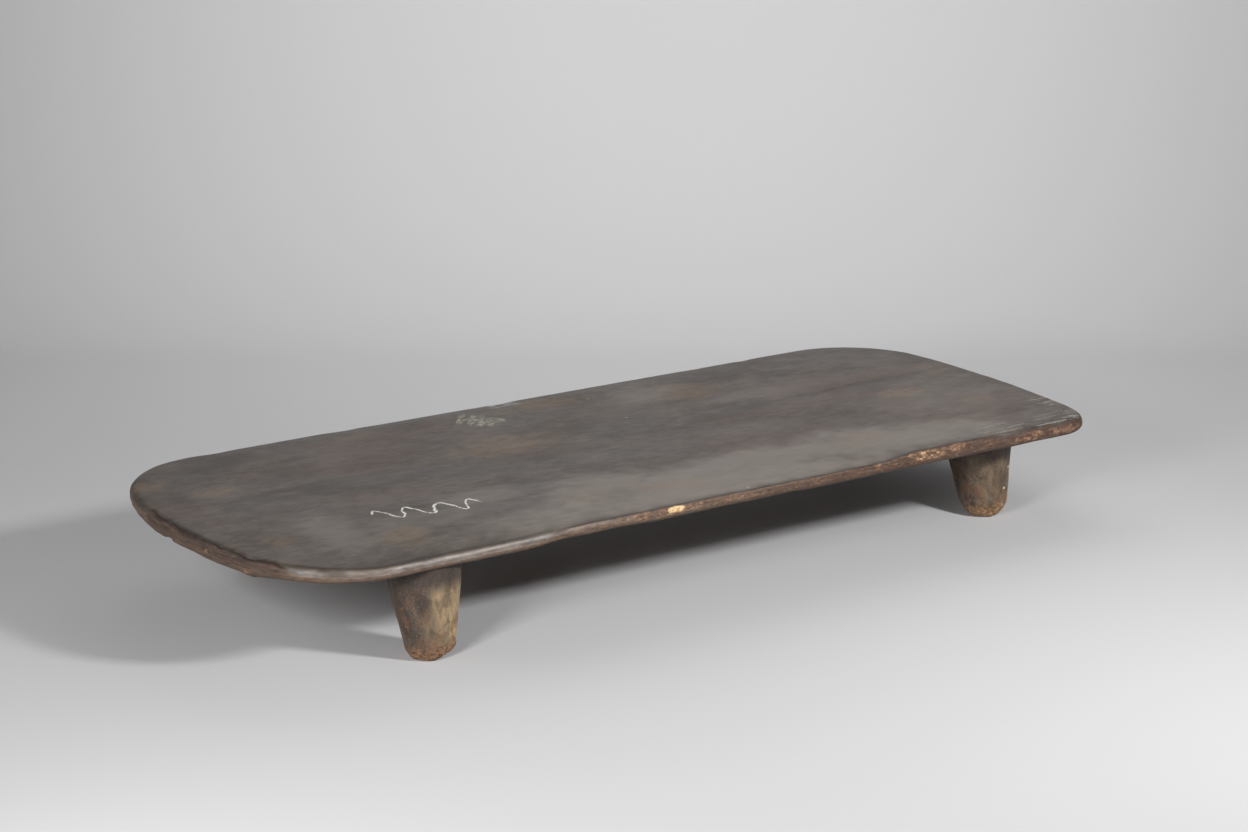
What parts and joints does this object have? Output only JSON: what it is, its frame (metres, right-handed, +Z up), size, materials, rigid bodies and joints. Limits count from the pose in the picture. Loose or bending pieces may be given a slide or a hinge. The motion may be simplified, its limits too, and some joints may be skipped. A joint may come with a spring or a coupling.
{
  "type": "low wooden daybed",
  "caption": "Low daybed carved from one log: a broad, thin slab with bowed ends and rounded corners on short tapered round legs.",
  "frame": {"origin": "on the floor, under the middle of the slab's outline", "axes": "+X along the bed towards its squarer end, +Y across it towards the back, +Z up"},
  "size_m": [2.0057, 0.812, 0.226],
  "materials": {
    "slab_wood": "dark grey-brown patina, worn satin on top, rough brown at the edges",
    "leg_wood": "dark brown patina worn to tan and orange-brown towards the sole, dry and rough"
  },
  "bodies": {
    "root": {"slab": "slab_wood", "leg_front_left": "leg_wood", "leg_front_right": "leg_wood", "leg_back_left": "leg_wood", "leg_back_right": "leg_wood"}
  },
  "joints": []
}
